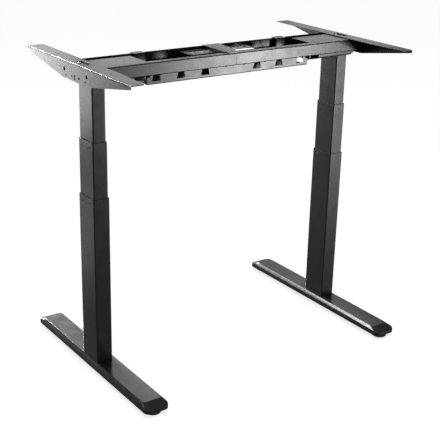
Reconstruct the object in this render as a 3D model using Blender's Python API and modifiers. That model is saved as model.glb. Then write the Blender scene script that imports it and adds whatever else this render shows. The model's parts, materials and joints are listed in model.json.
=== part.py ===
"""Height adjustable desk frame: two telescopic legs on feet, joined by a beam that pulls out in width.

Metres, +Z up. X runs along the beam, -Y is the front, and the origin is on the floor midway between the
legs. The frame stands part way up its travel and at its narrowest width.
"""

import math

import bmesh
import bpy
from mathutils import Matrix, Vector

# Driving dimensions, in metres
TOP_Z = 0.882  # the plane that the tabletop rests on
LEG_X = 0.4145  # leg axis from the middle of the frame
GAP = 0.0003  # clearance between pieces that touch
STEEL = 0.0025  # wing, head and bracket sheet
THIN = 0.0018  # rail and cover sheet

# Feet
FOOT_X = 0.4105  # the foot's centre line lies a little inside the leg axis
FOOT_TOP = 0.034
FOOT_SKIRT = 0.0125  # lower edge of the foot's skirt above the floor
FOOT_SIDE_BEND = 0.0265  # where the long side's chamfer meets the skirt
FOOT_END_BEND = 0.0220  # where the end's slope meets the skirt
FOOT_HALF_WIDTH = 0.0365
FOOT_HALF_LENGTH = 0.326
FOOT_FLAT_HALF_WIDTH = 0.0287
FOOT_FLAT_HALF_LENGTH = 0.294
PAD_Y = 0.297
PAD_RADIUS = 0.022
STUD_RADIUS = 0.004

# Column tubes: half width (X), half depth (Y), and the heights of their ends
WALL = 0.0015
OUTER = (0.0243, 0.0420)
MIDDLE = (0.0218, 0.0395)
INNER = (0.0193, 0.0370)
OUTER_TOP = 0.5207
MIDDLE_TOP = 0.6767
MIDDLE_BOTTOM = 0.184
INNER_BOTTOM = 0.334
CORNER = 0.0032
GLIDE_CLEARANCE = 0.00025
GLIDE_LENGTH = 0.060
PIN_RADIUS = 0.0024
PIN_DROP = 0.0155  # pins below the tube's end
PIN_Y = 0.020
PIN_PROUD = 0.0006

# Screw drive, as radii
DRIVE_RADIUS = 0.006
SPINDLE_BORE = 0.0066
SPINDLE_RADIUS = 0.010
PUSH_BORE = 0.0105
PUSH_RADIUS = 0.013
LIFT_BORE = 0.0135
LIFT_RADIUS = 0.015
PUSH_TOP = 0.470
LIFT_TOP = 0.640

# Beam
RAIL_TOP = 0.8792
RAIL_BOTTOM = 0.8446
RAIL_Y = 0.0670
FLANGE = 0.020
BEND = 0.003
HEAD_BOTTOM = 0.828
HEAD_INNER_X = 0.279
HEAD_FRONT_Y = -0.0465
HEAD_REAR_Y = 0.0368
END_PLATE_X = 0.4555
COVER_INNER_X = 0.2775

# Wings that carry the tabletop
WING_X = 0.4607
WING_FRONT_Y = -0.2790
WING_REAR_Y = 0.283
WING_FLANGE = 0.047
WING_DEPTH = 0.0464
WING_TIP_DEPTH = 0.0102
WING_FLAT_HALF = 0.072
FLANGE_HOLES = (0.1435, 0.270)

# Centre pieces
TRAY_HALF_LENGTH = 0.2725
TRAY_HALF_DEPTH = 0.0444
TRAY_BOTTOM = 0.8145
TRAY_TOP = 0.853
TRAY_SHEET = 0.0015
TRAY_SLOTS = (0.0885, 0.167, 0.245)
INNER_RAIL_HALF = 0.265
CRADLE_RIM_Z = 0.8725
CRADLE_HALF_LENGTH = 0.110
CRADLE_FRONT_Y = -0.006
CRADLE_REAR_Y = 0.054
HANGER_X = 0.2428
HANGER_HALF = 0.0172

MATERIALS = {
    "powder_coat": ((0.030, 0.030, 0.031), 0.45, 0.35),
    "zinc_steel": ((0.55, 0.56, 0.58), 0.30, 1.0),
    "black_plastic": ((0.018, 0.018, 0.019), 0.40, 0.0),
    "pale_plastic": ((0.60, 0.60, 0.58), 0.45, 0.0),
    "rubber": ((0.015, 0.015, 0.015), 0.80, 0.0),
    "motor_can": ((0.10, 0.10, 0.105), 0.35, 0.8),
}


def clear_scene():
    for obj in list(bpy.data.objects):
        bpy.data.objects.remove(obj, do_unlink=True)


def make_collection(name):
    collection = bpy.data.collections.new(name)
    bpy.context.scene.collection.children.link(collection)
    return collection


def make_materials():
    made = {}
    for name, (colour, roughness, metallic) in MATERIALS.items():
        material = bpy.data.materials.new(name)
        material.use_nodes = True
        shader = material.node_tree.nodes["Principled BSDF"]
        shader.inputs["Base Color"].default_value = (*colour, 1.0)
        shader.inputs["Roughness"].default_value = roughness
        shader.inputs["Metallic"].default_value = metallic
        made[name] = material
    return made


def arc(centre, radius, start, end, steps):
    """Points on an arc, from one angle to the other in degrees, both included."""
    angles = [math.radians(start + (end - start) * i / steps) for i in range(steps + 1)]
    return [(centre[0] + radius * math.cos(a), centre[1] + radius * math.sin(a)) for a in angles]


def circle(centre, radius, steps=16):
    return arc(centre, radius, 0, 360, steps)[:-1]


def rectangle(low, high):
    return [(low[0], low[1]), (high[0], low[1]), (high[0], high[1]), (low[0], high[1])]


def rounded_rectangle(half_x, half_y, radius, steps=4):
    x, y = half_x - radius, half_y - radius
    corners = [((x, y), 0), ((-x, y), 90), ((-x, -y), 180), ((x, -y), 270)]
    return [p for centre, start in corners for p in arc(centre, radius, start, start + 90, steps)]


def slot(centre, half_length, radius, steps=6):
    """A slot with round ends whose long side runs along the second axis."""
    reach = half_length - radius
    top = arc((centre[0], centre[1] + reach), radius, 0, 180, steps)
    bottom = arc((centre[0], centre[1] - reach), radius, 180, 360, steps)
    return top + bottom


def bent_strip(path, thickness, radius, steps=3):
    """The outline of a bent sheet: path is its outer side, and the sheet lies to the path's left."""
    outer, inner = [path[0]], []
    before = (Vector(path[1]) - Vector(path[0])).normalized()
    normal = Vector((-before.y, before.x))
    inner.append(Vector(path[0]) + normal * thickness)
    for previous, corner, following in zip(path, path[1:], path[2:]):
        corner = Vector(corner)
        into = (corner - Vector(previous)).normalized()
        out = (Vector(following) - corner).normalized()
        turn = into.x * out.y - into.y * out.x
        side = Vector((-into.y, into.x)) if turn > 0 else Vector((into.y, -into.x))
        outer_radius = radius if turn > 0 else radius - thickness
        inner_radius = radius - thickness if turn > 0 else radius
        centre = corner - into * outer_radius + side * outer_radius
        first = math.degrees(math.atan2(-side.y, -side.x))
        swing = 90 if turn > 0 else -90
        outer += arc(centre, outer_radius, first, first + swing, steps)
        inner += [Vector(p) for p in arc(centre, inner_radius, first, first + swing, steps)]
    last = (Vector(path[-1]) - Vector(path[-2])).normalized()
    outer.append(path[-1])
    inner.append(Vector(path[-1]) + Vector((-last.y, last.x)) * thickness)
    return [tuple(p) for p in outer] + [tuple(p) for p in reversed(inner)]


# Each extrusion axis, with the world axes that an outline's two coordinates run along.
AXES = {
    "X": Matrix(((0, 0, 1, 0), (1, 0, 0, 0), (0, 1, 0, 0), (0, 0, 0, 1))),
    "Y": Matrix(((1, 0, 0, 0), (0, 0, -1, 0), (0, 1, 0, 0), (0, 0, 0, 1))),
    "Z": Matrix.Identity(4),
}


def closed_mesh(mesh):
    """Welds a mesh, drops its slivers and turns its faces outwards."""
    bm = bmesh.new()
    bm.from_mesh(mesh)
    bmesh.ops.remove_doubles(bm, verts=bm.verts, dist=1e-6)
    bmesh.ops.recalc_face_normals(bm, faces=bm.faces)
    bm.to_mesh(mesh)
    bm.free()
    return mesh


def evaluated_mesh(obj):
    bpy.context.view_layer.update()
    graph = bpy.context.evaluated_depsgraph_get()
    mesh = bpy.data.meshes.new_from_object(obj.evaluated_get(graph))
    mesh.transform(obj.matrix_world)
    return mesh


def solid(mesh):
    """A world-space mesh as a working object, kept out of renders until it is finished."""
    obj = bpy.data.objects.new("working", mesh)
    workshop.objects.link(obj)
    obj.hide_render = True
    obj.display_type = "WIRE"
    return obj


def prism(loops, axis, start, end):
    """An outline with its holes, extruded along a world axis from start to end."""
    curve = bpy.data.curves.new("outline", "CURVE")
    curve.dimensions = "2D"
    curve.fill_mode = "BOTH"
    curve.extrude = abs(end - start) / 2
    for points in loops:
        spline = curve.splines.new("POLY")
        spline.points.add(len(points) - 1)
        for point, (u, v) in zip(spline.points, points):
            point.co = (u, v, 0.0, 1.0)
        spline.use_cyclic_u = True
    middle = (start + end) / 2
    holder = solid(curve)
    holder.matrix_world = AXES[axis] @ Matrix.Translation((0, 0, -middle if axis == "Y" else middle))
    mesh = evaluated_mesh(holder)
    bpy.data.objects.remove(holder)
    return solid(closed_mesh(mesh))


def box(low, high):
    return prism([rectangle(low[:2], high[:2])], "Z", low[2], high[2])


def turned(profile, centre, steps=24):
    """A closed profile of (radius, height) points, turned about a vertical axis at centre."""
    mesh = bpy.data.meshes.new("profile")
    edges = [(i, (i + 1) % len(profile)) for i in range(len(profile))]
    mesh.from_pydata([(radius, 0, height) for radius, height in profile], edges, [])
    holder = solid(mesh)
    screw = holder.modifiers.new("turn", "SCREW")
    screw.steps = screw.render_steps = steps
    screw.use_merge_vertices = True
    screw.merge_threshold = 1e-5
    result = evaluated_mesh(holder)
    bpy.data.objects.remove(holder)
    result.transform(Matrix.Translation((centre[0], centre[1], 0)))
    return solid(closed_mesh(result))


def turned_solid(profile, centre, steps=24):
    """As turned, for a profile whose first and last points lie on the axis and stay unjoined."""
    bm = bmesh.new()
    points = [bm.verts.new((radius, 0, height)) for radius, height in profile]
    for a, b in zip(points, points[1:]):
        bm.edges.new((a, b))
    bmesh.ops.spin(bm, geom=bm.verts[:] + bm.edges[:], cent=(0, 0, 0), axis=(0, 0, 1),
                   angle=2 * math.pi, steps=steps, use_merge=True)
    mesh = bpy.data.meshes.new("turned")
    bm.to_mesh(mesh)
    bm.free()
    mesh.transform(Matrix.Translation((centre[0], centre[1], 0)))
    return solid(closed_mesh(mesh))


def combine(target, operation, others):
    """Booleans the others into target one by one, and uses them up."""
    for other in others:
        modifier = target.modifiers.new(operation, "BOOLEAN")
        modifier.operation = operation
        modifier.object = other
        modifier.solver = "EXACT"
        mesh = evaluated_mesh(target)
        bpy.data.objects.remove(target)
        bpy.data.objects.remove(other)
        target = solid(closed_mesh(mesh))
    return target


def cut(target, cutters):
    return combine(target, "DIFFERENCE", cutters)


def join(target, others):
    return combine(target, "UNION", others)


def finish(working, name, material, holder, side=1):
    """Names a piece, mirrors it for the left side, and hangs it on the empty of its joint."""
    mesh = working.data
    bpy.data.objects.remove(working)
    if side < 0:
        mesh.transform(Matrix.Scale(-1, 4, (1, 0, 0)))
        mesh.flip_normals()
    mesh.transform(Matrix.Translation(-holder.location))
    mesh.name = name
    mesh.materials.append(materials[material])
    mesh.shade_smooth()
    mesh.set_sharp_from_angle(angle=math.radians(35))
    obj = bpy.data.objects.new(name, mesh)
    parts.objects.link(obj)
    obj.parent = holder
    return obj


def joint_empty(name, location):
    empty = bpy.data.objects.new(name, None)
    empty.location = location
    parts.objects.link(empty)
    return empty


def foot():
    """Pressed shell, open below: flat top, long side chamfers, sloping ends and a short upright skirt."""
    steps = 5
    side_rise = FOOT_SIDE_BEND - FOOT_END_BEND
    levels = [
        (FOOT_SKIRT, 0.0, FOOT_HALF_WIDTH, FOOT_HALF_LENGTH, 0.016),
        (FOOT_END_BEND - 0.0010, 1.0, FOOT_HALF_WIDTH, FOOT_HALF_LENGTH, 0.016),
        (FOOT_END_BEND + 0.0008, 1.0, FOOT_HALF_WIDTH - 0.0007, FOOT_HALF_LENGTH - 0.0012, 0.016),
        (FOOT_TOP - 0.0010, 0.0, FOOT_FLAT_HALF_WIDTH + 0.0010, FOOT_FLAT_HALF_LENGTH + 0.0025, 0.011),
        (FOOT_TOP, 0.0, FOOT_FLAT_HALF_WIDTH, FOOT_FLAT_HALF_LENGTH, 0.010),
    ]
    bm = bmesh.new()
    rings = []
    for z, follow, half_x, half_y, radius in levels:
        ring_vertices = []
        for x, y in rounded_rectangle(half_x, half_y, radius, steps):
            toward_end = min(max((abs(y) - half_y + radius) / radius, 0.0), 1.0)
            rise = follow * side_rise * (1.0 - toward_end)
            ring_vertices.append(bm.verts.new((FOOT_X + x, y, z + rise)))
        rings.append(ring_vertices)
    for lower, upper in zip(rings, rings[1:]):
        for i in range(len(lower)):
            j = (i + 1) % len(lower)
            bm.faces.new((lower[i], lower[j], upper[j], upper[i]))
    bm.faces.new(rings[-1])
    mesh = bpy.data.meshes.new("foot")
    bm.to_mesh(mesh)
    bm.free()
    shell = solid(mesh)
    thicken = shell.modifiers.new("sheet", "SOLIDIFY")
    thicken.thickness = STEEL
    thicken.offset = -1
    thicken.use_even_offset = True
    body = solid(closed_mesh(evaluated_mesh(shell)))
    bpy.data.objects.remove(shell)
    half_plate = FOOT_HALF_WIDTH - STEEL + 0.0004
    additions = []
    for y in (-PAD_Y, PAD_Y):
        plate_low = (FOOT_X - half_plate, y - 0.018, 0.0160)
        plate_high = (FOOT_X + half_plate, y + 0.018, 0.0190)
        additions.append(box(plate_low, plate_high))
        nut_profile = [(0, 0.0250), (0.007, 0.0250), (0.007, 0.0165), (0, 0.0165)]
        additions.append(turned_solid(nut_profile, (FOOT_X, y), 16))
    body = join(body, additions)
    bore = STUD_RADIUS + GAP
    holes = [prism([circle((FOOT_X, y), bore)], "Z", 0.010, 0.027) for y in (-PAD_Y, PAD_Y)]
    holes += [prism([circle((LEG_X + x, y), 0.0045)], "Z", 0.029, 0.040)
              for x in (-0.012, 0.012) for y in (-0.027, 0.027)]
    return cut(body, holes)


def leveller(y):
    """A round pad with a hexagon for a spanner, on a threaded stud."""
    pad = turned_solid(
        [(0, 0.0275), (STUD_RADIUS - 0.0008, 0.0275), (STUD_RADIUS, 0.0265), (STUD_RADIUS, 0.0070),
         (PAD_RADIUS - 0.0025, 0.0070), (PAD_RADIUS, 0.0050), (PAD_RADIUS, 0.0012),
         (PAD_RADIUS - 0.0012, 0), (0, 0)],
        (FOOT_X, y), 32)
    return join(pad, [prism([circle((FOOT_X, y), 0.0073, 6)], "Z", 0.0060, 0.0112)])


def pin_places(size):
    """Where the glide's pins come through a tube of this size: the axis, and the other coordinate."""
    across = [("X", sign, y) for sign in (-1, 1) for y in (-PIN_Y, PIN_Y)]
    return across + [("Y", sign, 0.0) for sign in (-1, 1)]


def pins(size, top, radius, inner_reach, outer_reach):
    """Round bars through the faces of a tube near its top, from inner_reach to outer_reach of its face."""
    made = []
    for axis, sign, across in pin_places(size):
        face = size[0] if axis == "X" else size[1]
        ends = sorted((sign * (face + inner_reach), sign * (face + outer_reach)))
        height = top - PIN_DROP
        if axis == "X":
            made.append(prism([circle((across, height), radius, 12)], "X", LEG_X + ends[0], LEG_X + ends[1]))
        else:
            made.append(prism([circle((LEG_X + across, height), radius, 12)], "Y", ends[0], ends[1]))
    return made


def at_leg(outline):
    return [(LEG_X + x, y) for x, y in outline]


def tube(size, bottom, top, pinned):
    outside = at_leg(rounded_rectangle(*size, CORNER))
    inside = at_leg(rounded_rectangle(size[0] - WALL, size[1] - WALL, CORNER - WALL))
    body = prism([outside, inside], "Z", bottom, top)
    if pinned:
        body = cut(body, pins(size, top, PIN_RADIUS + GAP, -WALL - 0.001, 0.001))
    return body


def glide(size, inner_size, top):
    """A thin plastic sleeve between two tubes, held by pins that show on the outer tube's faces."""
    outer = [half - WALL - GLIDE_CLEARANCE for half in size]
    inner = [half + GLIDE_CLEARANCE for half in inner_size]
    loops = [
        at_leg(rounded_rectangle(*outer, CORNER - WALL - GLIDE_CLEARANCE)),
        at_leg(rounded_rectangle(*inner, CORNER - WALL - GLIDE_CLEARANCE)),
    ]
    sleeve = prism(loops, "Z", top - GLIDE_LENGTH, top - WALL)
    root = -(WALL + GLIDE_CLEARANCE) - 0.00025
    return join(sleeve, pins(size, top, PIN_RADIUS, root, PIN_PROUD))


def ring(inner, outer, bottom, top, steps=24):
    return turned([(outer, top), (outer, bottom), (inner, bottom), (inner, top)], (LEG_X, 0), steps)


def base_plate():
    outline = rounded_rectangle(OUTER[0] - WALL - GAP, OUTER[1] - WALL - GAP, CORNER - WALL)
    holes = [circle((LEG_X + x, y), 0.0042, 12) for x in (-0.012, 0.012) for y in (-0.027, 0.027)]
    return prism([at_leg(outline)] + holes, "Z", FOOT_TOP + GAP, FOOT_TOP + GAP + 0.006)


def bearing_block():
    outline = rounded_rectangle(MIDDLE[0] - WALL - GAP, MIDDLE[1] - WALL - GAP, CORNER - WALL)
    bore = circle((LEG_X, 0), PUSH_RADIUS + 0.0004, 24)
    return prism([at_leg(outline), bore], "Z", MIDDLE_BOTTOM, MIDDLE_BOTTOM + 0.008)


def hollow_spindle():
    """The outer screw, with a thrust collar at its top that sits on the lift tube."""
    collar = LIFT_TOP + GAP
    profile = [
        (LIFT_RADIUS - 0.0005, collar + 0.0115), (LIFT_RADIUS - 0.0005, collar), (SPINDLE_RADIUS, collar),
        (SPINDLE_RADIUS, 0.205), (SPINDLE_BORE, 0.205), (SPINDLE_BORE, collar + 0.0115),
    ]
    return turned(profile, (LEG_X, 0))


def drive_spindle():
    bottom, top = 0.335, 0.8375
    return turned_solid(
        [(0, top), (DRIVE_RADIUS - 0.0008, top), (DRIVE_RADIUS, top - 0.0008), (DRIVE_RADIUS, bottom + 0.001),
         (DRIVE_RADIUS - 0.001, bottom), (0, bottom)], (LEG_X, 0))


def gearbox():
    """Worm gear housing over the leg: a turned boss on top, the worm's bearing cap at the outer end."""
    bottom = HEAD_BOTTOM + STEEL + GAP
    housing = prism([at_leg(rounded_rectangle(0.0215, 0.029, 0.006))], "Z", bottom, 0.866)
    boss_profile = [(0, 0.8715), (0.013, 0.8715), (0.015, 0.8695), (0.015, 0.864), (0, 0.864)]
    boss = turned_solid(boss_profile, (LEG_X, 0))
    cap = prism([circle((0.010, 0.8500), 0.0125, 20)], "X", LEG_X + 0.019, LEG_X + 0.0262)
    body = join(housing, [boss, cap])
    return cut(body, [prism([circle((LEG_X, 0), DRIVE_RADIUS + 0.0004, 24)], "Z", bottom - 0.01, 0.8385)])


def motor():
    """Round motor lying along the beam, with a smaller end bell and a square gearbox flange."""
    axis_y, axis_z, end = 0.010, 0.8526, LEG_X - 0.0215 - GAP
    can = prism([circle((axis_y, axis_z), 0.0175, 32)], "X", 0.300, end - 0.004)
    flange_outline = [(axis_y + y, axis_z + z) for y, z in rounded_rectangle(0.0185, 0.0175, 0.005)]
    flange = prism([flange_outline], "X", end - 0.006, end)
    bell = prism([circle((axis_y, axis_z), 0.0145, 24)], "X", 0.291, 0.302)
    shaft = prism([circle((axis_y, axis_z), 0.004, 12)], "X", 0.286, 0.293)
    return join(can, [flange, bell, shaft])


def web_holes(start, end):
    """The holes through a wing's web and the head's end plate behind it."""
    outlines = [circle((y, 0.8597), 0.0052, 16) for y in (-0.061, 0.061)]
    outlines += [circle((y, 0.8443), 0.0030, 12) for y in (-0.053, 0.053)]
    outlines += [circle((y, 0.8480), 0.0032, 12) for y in (-0.0205, 0.0205)]
    outlines.append(slot((0.004, 0.8472), 0.0070, 0.0027))
    return [prism([outline], "X", start, end) for outline in outlines]


def head_bracket():
    """A channel open at the top and at its inner end, closed by the end plate that the wing bolts to."""
    path = [
        (HEAD_FRONT_Y, RAIL_TOP - THIN - GAP), (HEAD_FRONT_Y, HEAD_BOTTOM),
        (HEAD_REAR_Y, HEAD_BOTTOM), (HEAD_REAR_Y, RAIL_TOP - THIN - GAP),
    ]
    channel = prism([bent_strip(path, STEEL, 0.005)], "X", HEAD_INNER_X, END_PLATE_X + 0.0005)
    plate_low, plate_high = (-RAIL_Y, 0.8400), (RAIL_Y, RAIL_TOP - GAP)
    plate = prism([rectangle(plate_low, plate_high)], "X", END_PLATE_X, WING_X - STEEL - GAP)
    corner = [(0.438, HEAD_BOTTOM - 0.002), (0.470, HEAD_BOTTOM - 0.002),
              (0.470, 0.8400), (END_PLATE_X, 0.8400)]
    body = cut(channel, [prism([corner], "Y", -0.06, 0.06)])
    body = join(body, [plate])
    spindle_hole = prism([circle((LEG_X, 0), 0.0080, 24)], "Z", HEAD_BOTTOM - 0.005, HEAD_BOTTOM + 0.008)
    window = box((0.283, HEAD_FRONT_Y - 0.002, 0.8320), (0.314, HEAD_FRONT_Y + 0.004, 0.8560))
    return cut(body, [spindle_hole, window] + web_holes(END_PLATE_X - 0.002, WING_X + 0.002))


def front_rail():
    """Outer rail of the front side: a channel whose lips point back into the beam."""
    path = [
        (-RAIL_Y + FLANGE, RAIL_TOP), (-RAIL_Y, RAIL_TOP),
        (-RAIL_Y, RAIL_BOTTOM), (-RAIL_Y + FLANGE, RAIL_BOTTOM),
    ]
    return prism([bent_strip(path, THIN, BEND)], "X", GAP, END_PLATE_X - GAP)


def rear_rail():
    """Outer rail of the rear side: an angle with its lip along the bottom."""
    path = [(RAIL_Y - FLANGE, RAIL_BOTTOM), (RAIL_Y, RAIL_BOTTOM), (RAIL_Y, RAIL_TOP)]
    return prism([bent_strip(path, THIN, BEND)], "X", GAP, END_PLATE_X - GAP)


def cover_plate():
    """Lid over the motor, flush with the front rail's lip."""
    front, rear = -RAIL_Y + FLANGE + GAP, HEAD_REAR_Y
    outline = rectangle((COVER_INNER_X, front), (END_PLATE_X - 0.0005, rear))
    lid = prism([outline], "Z", RAIL_TOP - THIN, RAIL_TOP)
    screw_hole = prism([circle((0.4375, 0.020), 0.0021, 12)], "Z", RAIL_TOP - 0.005, RAIL_TOP + 0.005)
    return cut(lid, [screw_hole])


def wing():
    """Angle that carries the tabletop: its web tapers to both tips, its flange narrows at the front."""
    inner_x = WING_X - WING_FLANGE
    path = [(WING_X, TOP_Z - WING_DEPTH), (WING_X, TOP_Z), (inner_x, TOP_Z)]
    angle = prism([bent_strip(path, STEEL, 0.0035)], "Y", WING_FRONT_Y, WING_REAR_Y)
    low, tip = TOP_Z - WING_DEPTH, TOP_Z - WING_TIP_DEPTH
    front_wedge = [(-WING_FLAT_HALF, low - 0.001), (-0.300, low - 0.001), (-0.300, tip + 0.0030),
                   (WING_FRONT_Y + 0.0015, tip), (-WING_FLAT_HALF, low)]
    rear_wedge = [(WING_FLAT_HALF, low - 0.001), (0.300, low - 0.001), (0.300, TOP_Z - 0.0036),
                  (WING_REAR_Y, TOP_Z - 0.0036), (WING_REAR_Y - 0.0075, tip), (WING_FLAT_HALF, low)]
    ends = [prism([wedge], "X", inner_x - 0.01, WING_X + 0.01) for wedge in (front_wedge, rear_wedge)]
    narrowing = [(inner_x - 0.005, -0.165), (inner_x, -0.165), (inner_x + 0.0085, -0.275),
                 (inner_x + 0.0125, -0.290), (inner_x - 0.005, -0.290)]
    ends.append(prism([narrowing], "Z", TOP_Z - 0.008, TOP_Z + 0.005))
    holes = [prism([circle((WING_X - 0.0240, sign * y), 0.0031, 14)], "Z", TOP_Z - 0.006, TOP_Z + 0.005)
             for y in FLANGE_HOLES for sign in (-1, 1)]
    window_low, window_high = (WING_X - 0.0335, -0.026), (WING_X - 0.0145, 0.026)
    holes.append(prism([rectangle(window_low, window_high)], "Z", TOP_Z - 0.006, TOP_Z + 0.005))
    notches = [box((WING_X - 0.0022, y - 0.0030, TOP_Z - 0.0022), (WING_X + 0.002, y + 0.0030, TOP_Z + 0.002))
               for y in (-0.144, 0.144)]
    return cut(angle, ends + holes + notches + web_holes(WING_X - 0.004, WING_X + 0.002))


def cable_tray():
    """Open channel under the beam, with tapered slots along both walls and notched upper corners."""
    path = [
        (-TRAY_HALF_DEPTH, TRAY_TOP), (-TRAY_HALF_DEPTH, TRAY_BOTTOM),
        (TRAY_HALF_DEPTH, TRAY_BOTTOM), (TRAY_HALF_DEPTH, TRAY_TOP),
    ]
    channel = prism([bent_strip(path, TRAY_SHEET, BEND)], "X", -TRAY_HALF_LENGTH, TRAY_HALF_LENGTH)
    reach = TRAY_HALF_DEPTH + 0.005
    cutters = []
    for x in TRAY_SLOTS:
        for sign in (-1, 1):
            outline = [(sign * x - 0.01425, 0.8232), (sign * x + 0.01425, 0.8232),
                       (sign * x + 0.0098, 0.8405), (sign * x - 0.0098, 0.8405)]
            cutters.append(prism([outline], "Y", -reach, reach))
    for sign in (-1, 1):
        ends = sorted((sign * (TRAY_HALF_LENGTH - 0.008), sign * (TRAY_HALF_LENGTH + 0.004)))
        cutters.append(box((ends[0], -reach, 0.8345), (ends[1], reach, TRAY_TOP + 0.004)))
    return cut(channel, cutters)


def front_inner_rail():
    """Channel that slides inside the front rails, with its back bolted to the tray."""
    back, tip = -TRAY_HALF_DEPTH - GAP, -RAIL_Y + THIN + 0.0006
    top, bottom = RAIL_TOP - THIN - 0.0006, RAIL_BOTTOM + THIN + 0.0006
    path = [(tip, bottom), (back, bottom), (back, top), (tip, top)]
    return prism([bent_strip(path, THIN, BEND)], "X", -INNER_RAIL_HALF, INNER_RAIL_HALF)


def rear_inner_rail():
    """Angle that slides inside the rear rails."""
    back, bottom = RAIL_Y - THIN - 0.0004, RAIL_BOTTOM + THIN + 0.0006
    path = [(back - 0.0155, bottom), (back, bottom), (back, RAIL_TOP - 0.0025)]
    return prism([bent_strip(path, THIN, BEND)], "X", -INNER_RAIL_HALF, INNER_RAIL_HALF)


def centre_bracket():
    """Drilled plate across the beam under the tabletop, with a lip turned down along its left side."""
    under = TOP_Z - STEEL
    outline = [(-0.0285, 0.0625), (0.0285, 0.0625), (0.0085, -0.0655), (-0.0265, -0.0655)]
    plate = prism([outline], "Z", under, TOP_Z)
    lip = box((-0.0275, -0.0380, CRADLE_RIM_Z + GAP), (-0.0250, 0.0410, under + 0.0005))
    rear_lip = box((-0.0275, 0.0390, CRADLE_RIM_Z + GAP), (0.0200, 0.0415, under + 0.0005))
    body = join(plate, [lip, rear_lip])
    places = [(-0.0115, 0.050 - 0.029 * i) for i in range(4)]
    places += [(0.0130, 0.032), (0.0115, -0.008), (0.0010, -0.056)]
    holes = [prism([circle(place, 0.0026, 12)], "Z", under - 0.003, TOP_Z + 0.003) for place in places]
    grooves = [box((x, -0.050, TOP_Z - 0.0010), (x + 0.0016, 0.055, TOP_Z + 0.002))
               for x in (-0.0205, -0.0005)]
    return cut(body, holes + grooves)


def hanger():
    """Small angle that rises from the tray's rear wall and reaches over the rear rail to the tabletop."""
    wall_y = TRAY_HALF_DEPTH + GAP
    path = [(wall_y, 0.8350), (wall_y, TOP_Z), (wall_y + 0.0265, TOP_Z)]
    outline = bent_strip(path[::-1], STEEL - 0.0002, 0.0035)
    body = prism([outline], "X", HANGER_X - HANGER_HALF, HANGER_X + HANGER_HALF)
    screw_hole = circle((HANGER_X, wall_y + 0.0145), 0.0026, 12)
    return cut(body, [prism([screw_hole], "Z", TOP_Z - 0.005, TOP_Z + 0.003)])


def control_box_cradle():
    """Pressed pan with a flat rim that holds the control box under the centre bracket."""
    sheet, depth = 0.0012, 0.0300
    length, front, rear = CRADLE_HALF_LENGTH, CRADLE_FRONT_Y, CRADLE_REAR_Y
    rim = prism([rectangle((-length, front), (length, rear))], "Z", CRADLE_RIM_Z - sheet, CRADLE_RIM_Z)
    tongue_outline = rectangle((0.050, front - 0.014), (0.100, front + 0.002))
    tongue = prism([tongue_outline], "Z", CRADLE_RIM_Z - sheet, CRADLE_RIM_Z)
    pan = box((-length + 0.011, front + 0.003, CRADLE_RIM_Z - depth),
              (length - 0.011, rear - 0.012, CRADLE_RIM_Z - 0.0005))
    hollow = box((-length + 0.011 + sheet, front + 0.003 + sheet, CRADLE_RIM_Z - depth + sheet),
                 (length - 0.011 - sheet, rear - 0.012 - sheet, CRADLE_RIM_Z + 0.002))
    outlets = box((-length, 0.012, CRADLE_RIM_Z - 0.024), (length, 0.034, CRADLE_RIM_Z - 0.006))
    return cut(join(rim, [tongue, pan]), [hollow, outlets])


def control_box():
    """Plastic case with a mains inlet at one end and a row of plug sockets at the other."""
    low = (-0.0965, CRADLE_FRONT_Y + 0.0055, CRADLE_RIM_Z - 0.0285)
    high = (0.0965, CRADLE_REAR_Y - 0.0145, CRADLE_RIM_Z - 0.0015)
    case = box(low, high)
    inlet_low = (high[0] - 0.012, 0.014, CRADLE_RIM_Z - 0.021)
    inlet_high = (high[0] + 0.002, 0.032, CRADLE_RIM_Z - 0.009)
    inlet = box(inlet_low, inlet_high)
    socket_low, socket_high = CRADLE_RIM_Z - 0.019, CRADLE_RIM_Z - 0.010
    sockets = [box((low[0] - 0.002, y, socket_low), (low[0] + 0.009, y + 0.0065, socket_high))
               for y in (0.0125, 0.0200, 0.0275)]
    return cut(case, [inlet] + sockets)


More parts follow.
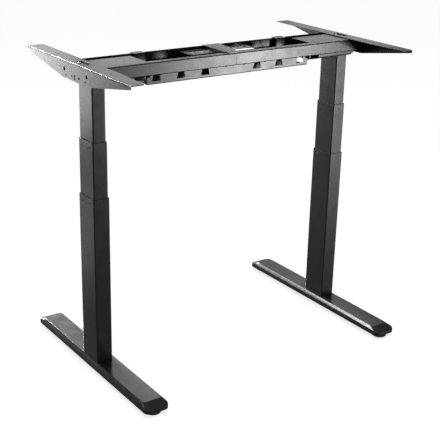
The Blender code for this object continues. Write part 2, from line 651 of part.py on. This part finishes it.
def build_side(side, name):
    """One leg, its foot and its end of the beam, drawn on the right and mirrored for the left."""
    axis_x = side * LEG_X
    base = joint_empty(f"{name}_base_origin", (axis_x, 0, 0))
    middle = joint_empty(f"{name}_lower_stage_axis", (axis_x, 0, OUTER_TOP))
    head = joint_empty(f"{name}_upper_stage_axis", (axis_x, 0, MIDDLE_TOP))
    finish(foot(), f"{name}_foot", "powder_coat", base, side)
    for end, y in (("front", -PAD_Y), ("rear", PAD_Y)):
        stud = joint_empty(f"{name}_{end}_stud_axis", (side * FOOT_X, y, 0))
        finish(leveller(y), f"{name}_{end}_leveller", "rubber", stud, side)
    finish(tube(OUTER, FOOT_TOP + GAP, OUTER_TOP, True), f"{name}_outer_tube", "powder_coat", base, side)
    finish(base_plate(), f"{name}_base_plate", "zinc_steel", base, side)
    finish(ring(PUSH_BORE, PUSH_RADIUS, FOOT_TOP + 0.0066, PUSH_TOP), f"{name}_push_tube", "zinc_steel", base, side)
    finish(glide(OUTER, MIDDLE, OUTER_TOP), f"{name}_outer_glide", "black_plastic", base, side)
    finish(tube(MIDDLE, MIDDLE_BOTTOM, MIDDLE_TOP, True), f"{name}_middle_tube", "powder_coat", middle, side)
    finish(bearing_block(), f"{name}_bearing_block", "pale_plastic", middle, side)
    lift_bottom = MIDDLE_BOTTOM + 0.008 + GAP
    finish(ring(LIFT_BORE, LIFT_RADIUS, lift_bottom, LIFT_TOP), f"{name}_lift_tube", "zinc_steel", middle, side)
    finish(glide(MIDDLE, INNER, MIDDLE_TOP), f"{name}_middle_glide", "black_plastic", middle, side)
    finish(hollow_spindle(), f"{name}_hollow_spindle", "zinc_steel", middle, side)
    finish(tube(INNER, INNER_BOTTOM, HEAD_BOTTOM - GAP, False), f"{name}_inner_tube", "powder_coat", head, side)
    finish(drive_spindle(), f"{name}_drive_spindle", "zinc_steel", head, side)
    finish(gearbox(), f"{name}_gearbox", "motor_can", head, side)
    finish(motor(), f"{name}_motor", "motor_can", head, side)
    finish(head_bracket(), f"{name}_head_bracket", "powder_coat", head, side)
    finish(front_rail(), f"{name}_front_rail", "powder_coat", head, side)
    finish(rear_rail(), f"{name}_rear_rail", "powder_coat", head, side)
    finish(cover_plate(), f"{name}_cover_plate", "powder_coat", head, side)
    finish(wing(), f"{name}_wing", "powder_coat", head, side)


def build_centre():
    """The pieces that stay in the middle while the two ends pull apart."""
    middle = joint_empty("centre_slide_axis", (0, 0, RAIL_BOTTOM))
    finish(cable_tray(), "cable_tray", "powder_coat", middle)
    finish(front_inner_rail(), "front_inner_rail", "powder_coat", middle)
    finish(rear_inner_rail(), "rear_inner_rail", "powder_coat", middle)
    finish(centre_bracket(), "centre_bracket", "powder_coat", middle)
    finish(hanger(), "left_hanger", "powder_coat", middle, -1)
    finish(hanger(), "right_hanger", "powder_coat", middle)
    finish(control_box_cradle(), "control_box_cradle", "powder_coat", middle)
    finish(control_box(), "control_box", "black_plastic", middle)


clear_scene()
parts = make_collection("standing_desk_frame")
workshop = make_collection("workshop")
materials = make_materials()
build_side(-1, "left")
build_side(1, "right")
build_centre()
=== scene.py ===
"""Looks, light and camera for the height adjustable desk frame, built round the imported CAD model."""

import json
import math

import bmesh
import bpy
from mathutils import Matrix, Vector


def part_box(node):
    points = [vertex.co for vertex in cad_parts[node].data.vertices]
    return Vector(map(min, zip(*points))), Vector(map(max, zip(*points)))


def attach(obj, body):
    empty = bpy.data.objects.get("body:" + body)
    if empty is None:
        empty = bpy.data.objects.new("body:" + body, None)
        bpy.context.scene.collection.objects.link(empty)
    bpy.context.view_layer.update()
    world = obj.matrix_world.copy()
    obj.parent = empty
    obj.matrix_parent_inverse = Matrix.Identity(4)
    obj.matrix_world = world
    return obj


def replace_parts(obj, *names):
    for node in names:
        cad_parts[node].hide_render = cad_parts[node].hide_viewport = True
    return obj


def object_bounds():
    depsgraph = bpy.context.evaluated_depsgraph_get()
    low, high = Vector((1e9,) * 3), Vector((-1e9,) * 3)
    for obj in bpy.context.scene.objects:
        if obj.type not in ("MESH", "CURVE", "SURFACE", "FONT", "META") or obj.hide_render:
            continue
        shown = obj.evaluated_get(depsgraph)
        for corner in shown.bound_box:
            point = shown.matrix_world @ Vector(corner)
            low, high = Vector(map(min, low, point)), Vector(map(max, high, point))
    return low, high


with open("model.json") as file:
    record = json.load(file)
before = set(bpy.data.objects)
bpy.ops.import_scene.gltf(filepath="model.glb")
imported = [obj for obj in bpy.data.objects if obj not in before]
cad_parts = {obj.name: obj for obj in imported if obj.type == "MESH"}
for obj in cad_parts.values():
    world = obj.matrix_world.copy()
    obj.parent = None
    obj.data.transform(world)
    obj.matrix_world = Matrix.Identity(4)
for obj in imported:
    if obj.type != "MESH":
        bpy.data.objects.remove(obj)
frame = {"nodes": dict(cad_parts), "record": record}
NODES = frame["nodes"]
cad_low, cad_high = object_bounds()
scene = bpy.context.scene
scene.view_settings.view_transform = "Standard"

SIDES = (("left", -1), ("right", 1))
FLOOR_Z = cad_low.z


# ---------------------------------------------------------------- camera

CAMERA_PLACE = Vector((-1.5912, -2.2387, 1.4119))
CAMERA_YAW = 0.61925
CAMERA_PITCH = -0.3638
CAMERA_ROLL = 0.0251
SENSOR = 36.0
LENS = 80.6


def make_camera():
    """A camera from its yaw (clockwise from +Y), pitch and roll, in radians."""
    forward = Vector((math.sin(CAMERA_YAW) * math.cos(CAMERA_PITCH),
                      math.cos(CAMERA_YAW) * math.cos(CAMERA_PITCH), math.sin(CAMERA_PITCH)))
    level = Vector((math.cos(CAMERA_YAW), -math.sin(CAMERA_YAW), 0.0))
    upright = level.cross(forward)
    right = math.cos(CAMERA_ROLL) * level + math.sin(CAMERA_ROLL) * upright
    up = math.cos(CAMERA_ROLL) * upright - math.sin(CAMERA_ROLL) * level
    camera = bpy.data.objects.new("camera", bpy.data.cameras.new("camera"))
    camera.data.lens = LENS
    camera.data.sensor_width = SENSOR
    camera.data.clip_end = 60.0
    turn = Matrix((right, up, -forward)).transposed().to_4x4()
    camera.matrix_world = Matrix.Translation(CAMERA_PLACE) @ turn
    scene.collection.objects.link(camera)
    scene.camera = camera


# ---------------------------------------------------------------- materials


class Nodes:
    """A material's node tree, with short calls for the nodes that the finishes share."""

    def __init__(self, name):
        self.material = bpy.data.materials.new(name)
        self.material.use_nodes = True
        self.tree = self.material.node_tree
        self.shader = self.tree.nodes["Principled BSDF"]
        self.place = self.tree.nodes.new("ShaderNodeTexCoord").outputs["Object"]

    def link(self, output, socket):
        self.tree.links.new(output, socket)

    def noise(self, scale, detail=2.0, roughness=0.5, stretch=None):
        node = self.tree.nodes.new("ShaderNodeTexNoise")
        node.inputs["Scale"].default_value = scale
        node.inputs["Detail"].default_value = detail
        node.inputs["Roughness"].default_value = roughness
        source = self.place
        if stretch:
            mapping = self.tree.nodes.new("ShaderNodeMapping")
            mapping.inputs["Scale"].default_value = stretch
            self.link(self.place, mapping.inputs["Vector"])
            source = mapping.outputs["Vector"]
        self.link(source, node.inputs["Vector"])
        return node.outputs["Fac"]

    def spread(self, value, low, high, to_low, to_high):
        node = self.tree.nodes.new("ShaderNodeMapRange")
        node.inputs["From Min"].default_value = low
        node.inputs["From Max"].default_value = high
        node.inputs["To Min"].default_value = to_low
        node.inputs["To Max"].default_value = to_high
        self.link(value, node.inputs["Value"])
        return node.outputs["Result"]

    def ramp(self, value, stops):
        node = self.tree.nodes.new("ShaderNodeValToRGB")
        points = node.color_ramp.elements
        while len(points) < len(stops):
            points.new(0.5)
        for point, (position, colour) in zip(points, stops):
            point.position = position
            point.color = (*colour, 1.0)
        self.link(value, node.inputs["Fac"])
        return node.outputs["Color"]

    def mix(self, factor, first, second):
        node = self.tree.nodes.new("ShaderNodeMix")
        node.data_type = "RGBA"
        self.link(factor, node.inputs["Factor"])
        self.link(first, node.inputs["A"])
        self.link(second, node.inputs["B"])
        return node.outputs["Result"]

    def bump(self, heights):
        """Chains bump nodes over (height, strength, distance) entries and ends at the shader's normal."""
        normal = None
        for height, strength, distance in heights:
            node = self.tree.nodes.new("ShaderNodeBump")
            node.inputs["Strength"].default_value = strength
            node.inputs["Distance"].default_value = distance
            self.link(height, node.inputs["Height"])
            if normal:
                self.link(normal, node.inputs["Normal"])
            normal = node.outputs["Normal"]
        self.link(normal, self.shader.inputs["Normal"])

    def set(self, **values):
        for name, value in values.items():
            self.shader.inputs[name.replace("_", " ")].default_value = value

    def colour(self, output):
        self.link(output, self.shader.inputs["Base Color"])

    def rough(self, output):
        self.link(output, self.shader.inputs["Roughness"])


def powder_coat(name, tone, rough_low, rough_high):
    """Fine-textured black polyester coat: pebbled skin, faint clouding and a few pale specks."""
    n = Nodes(name)
    n.set(Metallic=0.0, IOR=1.5)
    clouds = n.noise(7.0, 6.0, 0.6)
    base = n.ramp(clouds, [(0.30, [tone * 0.80] * 3), (0.70, [tone * 1.22, tone * 1.22, tone * 1.25])])
    specks = n.spread(n.noise(1500.0, 1.0), 0.70, 0.76, 0.0, 0.5)
    pale = n.ramp(clouds, [(0.0, [tone * 4] * 3), (1.0, [tone * 5] * 3)])
    n.colour(n.mix(specks, base, pale))
    n.rough(n.spread(n.noise(26.0, 5.0, 0.65), 0.30, 0.70, rough_low, rough_high))
    n.bump([(n.noise(420.0, 2.0), 0.10, 0.00008), (n.noise(1700.0, 2.0), 0.16, 0.00003)])
    return n.material


def coat_edge_painted_highlight():
    """The same coat on every bevelled edge: a painted highlight line, lighter than the faces all along, and lighter
    and half metallic where noise marks the coat as rubbed thin.
    """
    n = Nodes("coat_edge_painted_highlight")
    rub_and_highlight = n.spread(n.noise(90.0, 5.0, 0.7), 0.48, 0.66, 0.0, 1.0)
    # even the least rubbed edge is about twice as light as the coat: painted highlight
    coat = n.ramp(rub_and_highlight, [(0.0, [0.022] * 3), (1.0, [0.10, 0.10, 0.102])])
    n.colour(coat)
    n.link(n.spread(rub_and_highlight, 0.0, 1.0, 0.0, 0.5), n.shader.inputs["Metallic"])
    n.rough(n.spread(n.noise(300.0, 3.0), 0.3, 0.7, 0.26, 0.40))
    n.bump([(n.noise(1500.0, 2.0), 0.12, 0.00003)])
    return n.material


def zinc():
    """Bright zinc plate with drawn lines and dull patches."""
    n = Nodes("zinc")
    n.set(Metallic=1.0)
    patches = n.noise(60.0, 6.0, 0.65)
    n.colour(n.ramp(patches, [(0.3, (0.42, 0.43, 0.45)), (0.7, (0.62, 0.63, 0.64))]))
    n.rough(n.spread(n.noise(900.0, 3.0, 0.5, (1.0, 1.0, 0.06)), 0.3, 0.7, 0.24, 0.42))
    n.bump([(n.noise(2400.0, 2.0, 0.5, (1.0, 1.0, 0.05)), 0.12, 0.00003)])
    return n.material


def black_oxide():
    n = Nodes("black_oxide")
    n.set(Metallic=0.85)
    stain = n.noise(240.0, 5.0, 0.6)
    n.colour(n.ramp(stain, [(0.3, (0.022, 0.022, 0.024)), (0.75, (0.060, 0.058, 0.056))]))
    n.rough(n.spread(stain, 0.3, 0.7, 0.34, 0.52))
    n.bump([(n.noise(1800.0, 2.0), 0.15, 0.00003)])
    return n.material


def moulded(name, tone, rough_low, rough_high, grain=0.25):
    """Spark-eroded moulding: even grain, slight flow clouding."""
    n = Nodes(name)
    flow = n.noise(18.0, 4.0, 0.55)
    n.colour(n.ramp(flow, [(0.3, [c * 0.86 for c in tone]), (0.7, [c * 1.12 for c in tone])]))
    n.rough(n.spread(n.noise(700.0, 3.0), 0.3, 0.7, rough_low, rough_high))
    n.bump([(n.noise(1300.0, 3.0, 0.6), grain, 0.00008)])
    return n.material


def rubber():
    n = Nodes("pad_rubber")
    wear = n.noise(120.0, 6.0, 0.7)
    n.colour(n.ramp(wear, [(0.35, (0.012, 0.012, 0.012)), (0.8, (0.040, 0.039, 0.037))]))
    n.rough(n.spread(wear, 0.3, 0.7, 0.62, 0.86))
    n.bump([(n.noise(900.0, 4.0, 0.6), 0.35, 0.0001)])
    return n.material


def motor_paint():
    n = Nodes("motor_paint")
    n.set(Metallic=0.6)
    tint = n.noise(45.0, 5.0, 0.6)
    n.colour(n.ramp(tint, [(0.3, (0.075, 0.076, 0.080)), (0.7, (0.120, 0.120, 0.125))]))
    n.rough(n.spread(n.noise(420.0, 3.0), 0.3, 0.7, 0.28, 0.46))
    n.bump([(n.noise(1100.0, 3.0), 0.22, 0.00006)])
    return n.material


COAT = powder_coat("powder_coat", 0.0100, 0.21, 0.28)
# EDGE_PAINTED_HIGHLIGHT: the coat with a painted highlight, for the bevels
EDGE_PAINTED_HIGHLIGHT = coat_edge_painted_highlight()
ZINC = zinc()
OXIDE = black_oxide()
BLACK_PLASTIC = moulded("black_plastic", (0.016, 0.016, 0.017), 0.36, 0.52)
PALE_PLASTIC = moulded("pale_plastic", (0.62, 0.61, 0.57), 0.40, 0.55)
RUBBER = rubber()
MOTOR = motor_paint()
BY_SLOT = {
    "powder_coat": COAT,
    "zinc_steel": ZINC,
    "black_plastic": BLACK_PLASTIC,
    "pale_plastic": PALE_PLASTIC,
    "rubber": RUBBER,
    "motor_can": MOTOR,
}


# ---------------------------------------------------------------- CAD nodes


EDGE_WIDTH = 0.00025
SAME_POINT = 1e-6
FLAT_ANGLE = math.radians(0.1)
SHARP_ANGLE = math.radians(33)


def soften(obj):
    """Rounds a CAD node's edges in the render: weld, merge flat faces, bevel, then area-weighted normals."""
    weld = obj.modifiers.new("weld", "WELD")
    weld.merge_threshold = SAME_POINT
    flats = obj.modifiers.new("flats", "DECIMATE")
    flats.decimate_type = "DISSOLVE"
    flats.angle_limit = FLAT_ANGLE
    bevel = obj.modifiers.new("edges", "BEVEL")
    bevel.width = EDGE_WIDTH
    bevel.segments = 2
    bevel.limit_method = "ANGLE"
    bevel.angle_limit = SHARP_ANGLE
    bevel.use_clamp_overlap = False
    # the bevel faces take material 1, which on coated parts is the painted edge highlight
    bevel.material = 1
    normals = obj.modifiers.new("normals", "WEIGHTED_NORMAL")
    normals.weight = 90


def dress_cad_nodes():
    for part in frame["record"]["subparts"]:
        obj = NODES[part["node"]]
        obj.data.materials.clear()
        material = BY_SLOT[part["material_slot"]]
        obj.data.materials.append(material)
        # coated parts get the painted highlight material on their bevelled edges
        obj.data.materials.append(EDGE_PAINTED_HIGHLIGHT if material is COAT else material)
        obj.data.shade_smooth()
        soften(obj)


# ---------------------------------------------------------------- fittings

ROUND = 24
TAU = math.tau
UP = (0, 0, 1)
DOWN = (0, 0, -1)
REARWARD = (0, 1, 0)


def round_ring(radius, z, count=ROUND):
    return [(radius * math.cos(TAU * k / count), radius * math.sin(TAU * k / count), z) for k in range(count)]


def hex_ring(apothem, z, count=ROUND):
    """Points round a hexagon, at the same angles as round_ring, so that the two can be skinned together."""
    ring = []
    for k in range(count):
        angle = TAU * k / count
        reach = apothem / math.cos((angle + math.pi / 6) % (math.pi / 3) - math.pi / 6)
        ring.append((reach * math.cos(angle), reach * math.sin(angle), z))
    return ring


def thread_rings(radius, depth, pitch, start, end, per_turn=5):
    """A helical thread: each ring's radius swells where the helix passes."""
    rings = []
    steps = max(2, round(abs(end - start) / pitch * per_turn))
    for i in range(steps + 1):
        z = start + (end - start) * i / steps
        ring = []
        for k in range(ROUND):
            phase = (z / pitch - k / ROUND) % 1.0
            reach = radius - depth * abs(phase - 0.5) * 2.0
            ring.append((reach * math.cos(TAU * k / ROUND), reach * math.sin(TAU * k / ROUND), z))
        rings.append(ring)
    return rings


def rounded_outline(half_x, half_y, radius, z, steps=4):
    ring = []
    for turn, (cx, cy) in enumerate(((1, 1), (-1, 1), (-1, -1), (1, -1))):
        for i in range(steps + 1):
            angle = math.pi / 2 * (turn + i / steps)
            ring.append((cx * (half_x - radius) + radius * math.cos(angle),
                         cy * (half_y - radius) + radius * math.sin(angle), z))
    return ring


class Shells:
    """One piece's mesh, gathered from skinned shells that are placed by an origin and their local +Z."""

    def __init__(self):
        self.bm = bmesh.new()

    def skin(self, rings, origin=(0.0, 0.0, 0.0), axis=(0.0, 0.0, 1.0), spin=0.0):
        turn = Vector(axis).to_track_quat("Z", "Y").to_matrix() @ Matrix.Rotation(spin, 3, "Z")
        rows = [[self.bm.verts.new(Vector(origin) + turn @ Vector(point)) for point in ring] for ring in rings]
        count = len(rows[0])
        for lower, upper in zip(rows, rows[1:]):
            for k in range(count):
                beside = (k + 1) % count
                self.bm.faces.new((lower[k], lower[beside], upper[beside], upper[k]))
        self.bm.faces.new(rows[0][::-1])
        self.bm.faces.new(rows[-1])

    def socket_screw(self, origin, axis, head, height, key, shank, length, spin=0.0):
        """A domed head with a hexagon socket over a threaded shank. The origin is under the head."""
        rings = [round_ring(shank * 0.72, -length)]
        rings += thread_rings(shank, shank * 0.16, shank * 0.42, -length + shank * 0.3, -0.0004)
        rings += [
            round_ring(shank, 0.0), round_ring(head * 0.96, 0.0), round_ring(head, height * 0.12),
            round_ring(head, height * 0.45), round_ring(head * 0.93, height * 0.74),
            round_ring(head * 0.80, height * 0.92), round_ring(head * 0.68, height),
            hex_ring(key * 1.07, height), hex_ring(key, height * 0.94), hex_ring(key, height * 0.30),
            hex_ring(key * 0.5, height * 0.20),
        ]
        self.skin(rings, origin, axis, spin)

    def hex_nut(self, origin, axis, apothem, height, hole, spin=0.0):
        rings = [
            round_ring(apothem * 0.94, 0.0), hex_ring(apothem, height * 0.14), hex_ring(apothem, height * 0.86),
            round_ring(apothem * 0.94, height), round_ring(hole * 1.15, height),
            round_ring(hole, height * 0.86), round_ring(hole, height * 0.6),
        ]
        self.skin(rings, origin, axis, spin)

    def bar(self, centre, half, corner, edge=0.0002, axis=(0.0, 0.0, 1.0)):
        """A bar with rounded corners in plan and a small chamfer round both faces."""
        half_x, half_y, half_z = half
        levels = ((-half_z, edge), (-half_z + edge, 0.0), (half_z - edge, 0.0), (half_z, edge))
        self.skin([rounded_outline(half_x - inset, half_y - inset, corner, z) for z, inset in levels], centre, axis)

    def piece(self, name, material, body):
        for edge in self.bm.edges:
            edge.smooth = edge.calc_face_angle(0.0) < math.radians(38)
        for face in self.bm.faces:
            face.smooth = True
        mesh = bpy.data.meshes.new(name)
        self.bm.to_mesh(mesh)
        self.bm.free()
        mesh.materials.append(material)
        obj = bpy.data.objects.new(name, mesh)
        scene.collection.objects.link(obj)
        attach(obj, body)
        return obj


LEG_X = sum(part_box("right_outer_tube"), Vector()).x / 2
FOOT_X, PAD_Y = (sum(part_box("right_rear_leveller"), Vector()) / 2).xy
WING_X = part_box("right_wing")[1].x
TOP_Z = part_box("right_wing")[1].z
RAIL_BOTTOM, RAIL_TOP = (corner.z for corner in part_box("right_front_rail"))
CRADLE_RIM_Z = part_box("control_box_cradle")[1].z
TRAY_WALL_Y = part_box("cable_tray")[1].y


PAD_POINTS = 96
PAD_SOLE = ((0.0120, 0.0009), (0.0125, 0.0), (0.0205, 0.0))
PAD_TOP = ((0.0207, 0.0058), (0.0190, 0.0068), (0.0110, 0.0070), (0.0104, 0.0064), (0.0092, 0.0064), (0.0088, 0.0072))


def make_levellers(side, sign):
    """Ribbed pad with a recessed sole, then a spanner hexagon on a threaded stud."""
    for end, y in (("front", -PAD_Y), ("rear", PAD_Y)):
        body = f"{side}_{end}_pad"
        origin = (sign * FOOT_X, y, FLOOR_Z)
        ribbed = [0.0220 - (0.0007 if k % 4 < 2 else 0.0) for k in range(PAD_POINTS)]
        grip = [[(r * math.cos(TAU * k / PAD_POINTS), r * math.sin(TAU * k / PAD_POINTS), z)
                 for k, r in enumerate(ribbed)] for z in (0.0012, 0.0022, 0.0048)]
        pad = Shells()
        pad.skin([
            *(round_ring(r, z, PAD_POINTS) for r, z in PAD_SOLE),
            *grip,
            *(round_ring(r, z, PAD_POINTS) for r, z in PAD_TOP),
        ], origin)
        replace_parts(pad.piece(f"{side}_{end}_pad_ribbed", RUBBER, body), f"{side}_{end}_leveller")
        stud = Shells()
        stud.hex_nut((origin[0], y, 0.0068), UP, 0.0063, 0.0046, 0.0038)
        stud.skin([round_ring(0.0036, 0.0090), *thread_rings(0.0040, 0.0005, 0.00125, 0.0100, 0.0262),
                   round_ring(0.0030, 0.0272)], (origin[0], y, 0.0))
        stud.piece(f"{side}_{end}_stud", ZINC, body)


MOTOR_Y, MOTOR_Z = 0.010, 0.8526
BAND = ((0.0173, -0.0022), (0.0178, -0.0018), (0.0178, 0.0018), (0.0173, 0.0022))


def make_head_fittings(side, sign):
    """Screws in the wing's web, the cover and the rails, and the motor's bands and end screws."""
    out = (sign, 0.0, 0.0)
    body = f"{side}_head"
    web = Shells()
    for y in (-0.061, 0.061):
        place = (sign * (WING_X - 0.0048), y, 0.8597)
        web.socket_screw(place, out, 0.0047, 0.0036, 0.0022, 0.0030, 0.0090, y * 9)
    for y, z in ((-0.053, 0.8443), (0.053, 0.8443), (-0.0205, 0.8480), (0.0205, 0.8480)):
        place = (sign * (WING_X - 0.0040), y, z)
        web.socket_screw(place, out, 0.0026, 0.0024, 0.0013, 0.0019, 0.0070, y * 31)
    web.piece(f"{side}_web_screws", OXIDE, body)
    cover = Shells()
    cover.socket_screw((sign * 0.4375, 0.020, RAIL_TOP), UP, 0.0036, 0.0019, 0.0014, 0.0019, 0.0050, 0.4)
    cover.piece(f"{side}_cover_screw", ZINC, body)
    rails = Shells()
    for x in (0.030, 0.105, 0.240):
        for y in (-0.0570, 0.0565):
            place = (sign * x, y, RAIL_BOTTOM)
            rails.socket_screw(place, DOWN, 0.0042, 0.0024, 0.0019, 0.0024, 0.0021, x * 40)
    rails.piece(f"{side}_rail_screws", OXIDE, body)
    bands = Shells()
    for x in (0.3040, 0.3220, 0.3740):
        bands.skin([round_ring(r, z, 48) for r, z in BAND], (sign * x, MOTOR_Y, MOTOR_Z), (1, 0, 0))
    for turn in range(2):
        angle = math.pi * turn + 0.6
        place = (sign * 0.2990, MOTOR_Y + 0.0160 * math.cos(angle), MOTOR_Z + 0.0160 * math.sin(angle))
        bands.hex_nut(place, (-sign, 0, 0), 0.0018, 0.0018, 0.0007, 0.3)
    bands.piece(f"{side}_motor_bands", MOTOR, body)
    gear = Shells()
    for x in (-0.0165, 0.0165):
        for y in (-0.0225, 0.0225):
            place = (sign * LEG_X + x, y, 0.8660)
            gear.socket_screw(place, UP, 0.0026, 0.0016, 0.0012, 0.0016, 0.0040, 0.2)
    gear.piece(f"{side}_gearbox_screws", ZINC, body)


def make_foot_bolts(side, sign):
    """The four bolts that hold the column's base plate, with their heads up inside the foot."""
    bolts = Shells()
    for x in (-0.012, 0.012):
        for y in (-0.027, 0.027):
            place = (sign * LEG_X + x, y, 0.0313)
            bolts.socket_screw(place, DOWN, 0.0060, 0.0036, 0.0022, 0.0031, 0.0086, y * 30)
    bolts.piece(f"{side}_foot_bolts", ZINC, f"{side}_base")


FINE_PIN = ((0.0004, 0.0), (0.0004, 0.0058), (0.0002, 0.0064))


def make_centre_fittings():
    """Screws of the tray, cradle and centre bracket, the cradle's clip, and the control box's ribs and pins."""
    body = "beam_centre"
    tray = Shells()
    for x in (-0.210, -0.125, -0.045, 0.045, 0.125, 0.210):
        place = (x, -TRAY_WALL_Y + 0.0015, 0.8500)
        tray.socket_screw(place, REARWARD, 0.0027, 0.0015, 0.0011, 0.0015, 0.0034, x * 20)
    for x in (-0.2428, 0.2428):
        for across in (-0.010, 0.010):
            place = (x + across, 0.0470, 0.8395)
            tray.socket_screw(place, REARWARD, 0.0032, 0.0018, 0.0015, 0.0018, 0.0042, across * 50)
    for x in (-0.1045, 0.1045):
        for y in (0.0030, 0.0440):
            tray.socket_screw((x, y, CRADLE_RIM_Z), UP, 0.0028, 0.0014, 0.0012, 0.0016, 0.0030, y * 40)
    tray.piece("tray_screws", OXIDE, body)
    bright = Shells()
    for x, y in ((-0.0115, 0.050), (0.0130, 0.032), (0.0010, -0.056)):
        bright.socket_screw((x, y, TOP_Z - 0.0019), UP, 0.0025, 0.0017, 0.0012, 0.0017, 0.0040, y * 25)
    bright.piece("bracket_screws", ZINC, body)
    clip = Shells()
    clip.bar((0.066, -0.0135, CRADLE_RIM_Z + 0.0009), (0.030, 0.0074, 0.0006), 0.0016)
    for x in (0.042, 0.090):
        clip.bar((x, -0.0135, CRADLE_RIM_Z + 0.0017), (0.0012, 0.0058, 0.0004), 0.0006)
    clip.piece("cradle_clip", PALE_PLASTIC, body)
    case = Shells()
    for i in range(13):
        case.bar((-0.084 + 0.014 * i, 0.0190, CRADLE_RIM_Z - 0.0012), (0.0016, 0.0150, 0.0005), 0.0008)
    case.piece("control_box_ribs", BLACK_PLASTIC, body)
    pins = Shells()
    for y in (0.0195, 0.0265):
        pins.skin([round_ring(0.0011, 0.0), round_ring(0.0011, 0.0076), round_ring(0.0007, 0.0084)],
                  (0.0845, y, CRADLE_RIM_Z - 0.0150), (1, 0, 0))
    for y in (0.0125, 0.0200, 0.0275):
        for across in (0.0018, 0.0047):
            for z in (-0.0165, -0.0125):
                place = (-0.0875, y + across, CRADLE_RIM_Z + z)
                pins.skin([round_ring(r, reach, 12) for r, reach in FINE_PIN], place, (-1, 0, 0))
    pins.piece("connector_pins", ZINC, body)


def make_fittings():
    for side, sign in SIDES:
        make_levellers(side, sign)
        make_head_fittings(side, sign)
        make_foot_bolts(side, sign)
    make_centre_fittings()


# ---------------------------------------------------------------- floor and light


FLOOR_POINTS = 48
FLOOR_GLOW = 0.78
WORLD_GLOW = 0.193


def make_floor():
    """A pale floor that turns up into a bowl far outside the light, so that every view ends on paper."""
    profile = [(6.0, 0.0), (12.0, 0.0), (15.0, 0.8), (17.0, 2.6), (18.0, 5.5), (18.0, 12.0), (9.0, 18.0)]
    mesh = bpy.data.meshes.new("floor")
    bm = bmesh.new()
    centre = bm.verts.new((0.0, 0.0, 0.0))
    rings = [[bm.verts.new(point) for point in round_ring(r, z, FLOOR_POINTS)] for r, z in profile]
    for k in range(FLOOR_POINTS):
        beside = (k + 1) % FLOOR_POINTS
        bm.faces.new((centre, rings[0][k], rings[0][beside]))
        for lower, upper in zip(rings, rings[1:]):
            bm.faces.new((lower[k], upper[k], upper[beside], lower[beside]))
    bm.to_mesh(mesh)
    bm.free()
    mesh.shade_smooth()
    floor = bpy.data.objects.new("floor", mesh)
    floor.location.z = FLOOR_Z - 0.0002
    scene.collection.objects.link(floor)
    n = Nodes("floor_paper")
    n.colour(n.ramp(n.noise(0.8, 3.0), [(0.3, (0.86, 0.86, 0.86)), (0.7, (0.90, 0.90, 0.90))]))
    n.set(Roughness=0.9, Emission_Strength=FLOOR_GLOW)
    n.shader.inputs["Emission Color"].default_value = (1.0, 1.0, 1.0, 1.0)
    n.shader.inputs["Specular IOR Level"].default_value = 0.0
    mesh.materials.append(n.material)
    floor.visible_glossy = False
    floor.visible_diffuse = False
    floor.visible_shadow = False
    return floor


def soft_box(name, azimuth, elevation, distance, width, height, radiance, aim=Vector((0, 0, 0.6))):
    """A softbox round the object: azimuth is clockwise from +Y in degrees, and it faces the aim point."""
    a, e = math.radians(azimuth), math.radians(elevation)
    out = Vector((math.sin(a) * math.cos(e), math.cos(a) * math.cos(e), math.sin(e)))
    light = bpy.data.lights.new(name, "AREA")
    light.shape = "RECTANGLE"
    light.size = width
    light.size_y = height
    light.energy = radiance * math.pi * width * height
    obj = bpy.data.objects.new(name, light)
    obj.location = aim + out * distance
    obj.rotation_mode = "QUATERNION"
    obj.rotation_quaternion = (-out).to_track_quat("-Z", "Y")
    obj.visible_camera = False
    scene.collection.objects.link(obj)
    return obj


# name, azimuth, elevation, distance, width, height, radiance
SOFT_BOXES = (
    ("front_low", 142.0, -12.0, 5.0, 0.5, 1.0, 23.8),
    ("front_low_left", 146.5, -12.0, 5.0, 0.5, 1.0, 8.9),
    ("front_middle", 142.0, -3.0, 5.0, 0.7, 0.6, 27.9),
    ("front_foot", 139.0, -20.0, 5.0, 0.8, 0.7, 0.5),
    ("back_wall", 8.0, 4.0, 5.0, 0.8, 1.6, 5.7),
    ("back_high", 0.0, 20.0, 5.0, 1.2, 0.8, 354.2),
    ("back_left_low", -20.0, -2.0, 5.0, 0.6, 1.2, 13.2),
    ("leg_fill", -27.0, -9.0, 5.0, 0.5, 0.9, 10.9),
    ("foot_fill", -28.0, -22.0, 5.0, 0.8, 0.8, 1.0),
    ("left_high", -33.0, 42.0, 5.0, 0.7, 0.6, 46.1),
    ("left_higher", -43.0, 47.0, 5.0, 0.7, 0.7, 22.4),
    ("left_inner", -26.0, 37.0, 5.0, 0.5, 0.5, 19.7),
    ("sky_18", 18.0, 11.0, 5.0, 0.7, 0.7, 2.0),
    ("sky_27", 27.0, 11.0, 5.0, 0.6, 0.7, 1.4),
    ("sky_36", 36.0, 11.0, 5.0, 0.7, 0.7, 1.0),
    ("sky_46", 46.0, 11.0, 5.0, 0.8, 0.7, 0.6),
    ("sky_26_high", 26.0, 29.0, 5.0, 1.0, 0.9, 2.4),
    ("sky_44_high", 44.0, 29.0, 5.0, 1.0, 0.9, 5.2),
)


def make_light(floor):
    """Low, strong boxes that only the object sees, and one overhead box that also shades the floor."""
    world = bpy.data.worlds.new("studio")
    world.use_nodes = True
    background = world.node_tree.nodes["Background"]
    background.inputs["Color"].default_value = (1.0, 1.0, 1.0, 1.0)
    background.inputs["Strength"].default_value = WORLD_GLOW
    scene.world = world
    kept_dark = bpy.data.collections.new("kept_from_boxes")
    kept_dark.objects.link(floor)
    kept_dark.collection_objects[0].light_linking.link_state = "EXCLUDE"
    for entry in SOFT_BOXES:
        box = soft_box(*entry)
        box.light_linking.receiver_collection = kept_dark
    soft_box("overhead", 200.0, 78.0, 3.5, 3.0, 3.0, 1.0)


make_camera()
dress_cad_nodes()
make_fittings()
floor = make_floor()
make_light(floor)
